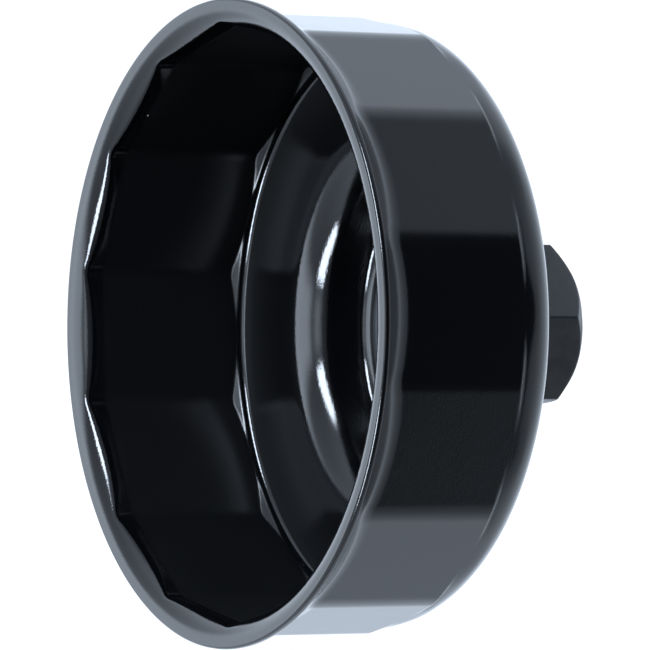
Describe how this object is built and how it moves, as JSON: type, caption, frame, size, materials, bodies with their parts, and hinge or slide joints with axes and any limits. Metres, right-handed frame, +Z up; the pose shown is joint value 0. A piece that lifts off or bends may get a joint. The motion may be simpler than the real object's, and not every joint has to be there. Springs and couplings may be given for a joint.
{
  "type": "oil filter wrench",
  "caption": "Cup oil filter wrench: a black pressed-steel cup with a fluted socket and flared rim, and a hexagon drive boss with a square hole.",
  "frame": {"origin": "centre of the cup's mouth, in the plane of the rim's end face", "axes": "+Y along the cup's axis, from the mouth towards the hexagon drive boss; +Z up and +X to the side, with the wrench lying on the edge of its rim"},
  "size_m": [0.084, 0.0496, 0.084],
  "materials": {
    "cup_black": "smooth glossy black coating on pressed steel",
    "drive_black": "matte black oxide on machined steel"
  },
  "bodies": {
    "root": {"fluted_cup": "cup_black", "drive_hex": "drive_black"}
  },
  "joints": []
}
